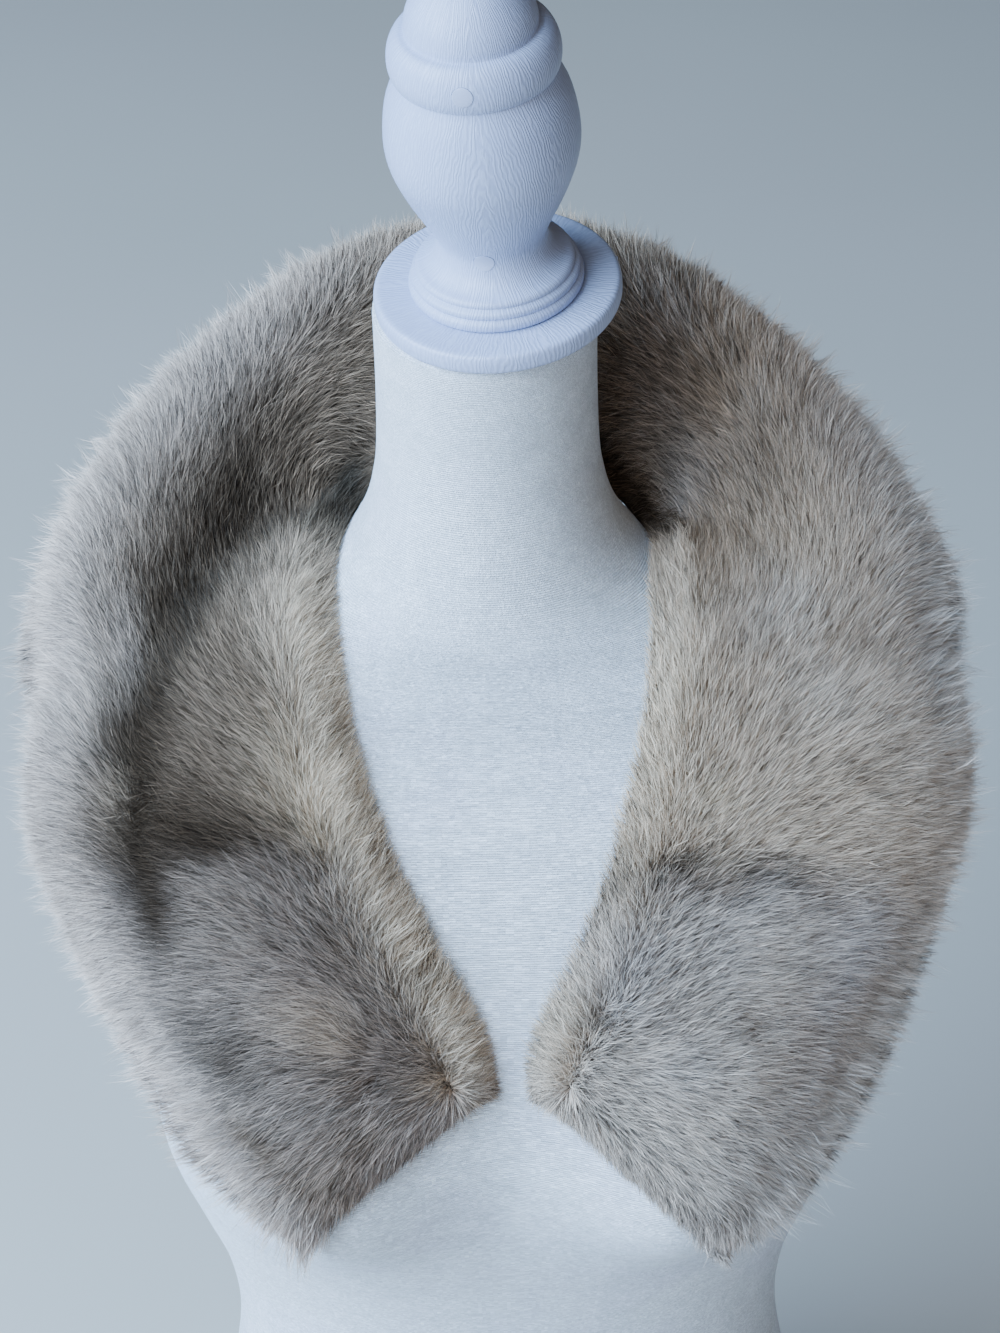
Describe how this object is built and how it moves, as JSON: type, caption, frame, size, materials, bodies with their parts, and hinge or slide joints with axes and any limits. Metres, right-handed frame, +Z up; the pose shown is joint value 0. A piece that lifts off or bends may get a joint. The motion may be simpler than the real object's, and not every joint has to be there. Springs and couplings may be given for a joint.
{
  "type": "fur collar wrap on a dress form",
  "caption": "Crescent fur collar wrap with a raised rim, lying round the neck and chest of a white limbless dress form with a turned finial.",
  "frame": {"origin": "middle of the flat cut across the form's hips, which stands on a surface", "axes": "+Z up through the neck, -Y towards the form's front, +X towards the right as seen from the front"},
  "size_m": [0.4002, 0.3024, 0.8917],
  "materials": {
    "jersey": "fine white knit cover with a faint sheen",
    "white_plastic": "white moulding with a fine raised wood grain",
    "fur": "dense pale silver-beige fur with glossy guard hairs over a grey underfur"
  },
  "bodies": {
    "root": {"form_torso": "jersey", "neck_cap": "white_plastic", "finial": "white_plastic", "finial_plug_lower": "white_plastic", "finial_plug_upper": "white_plastic", "collar_front_l": "fur", "collar_shoulder_l": "fur", "collar_back": "fur", "collar_shoulder_r": "fur", "collar_front_r": "fur"}
  },
  "joints": []
}
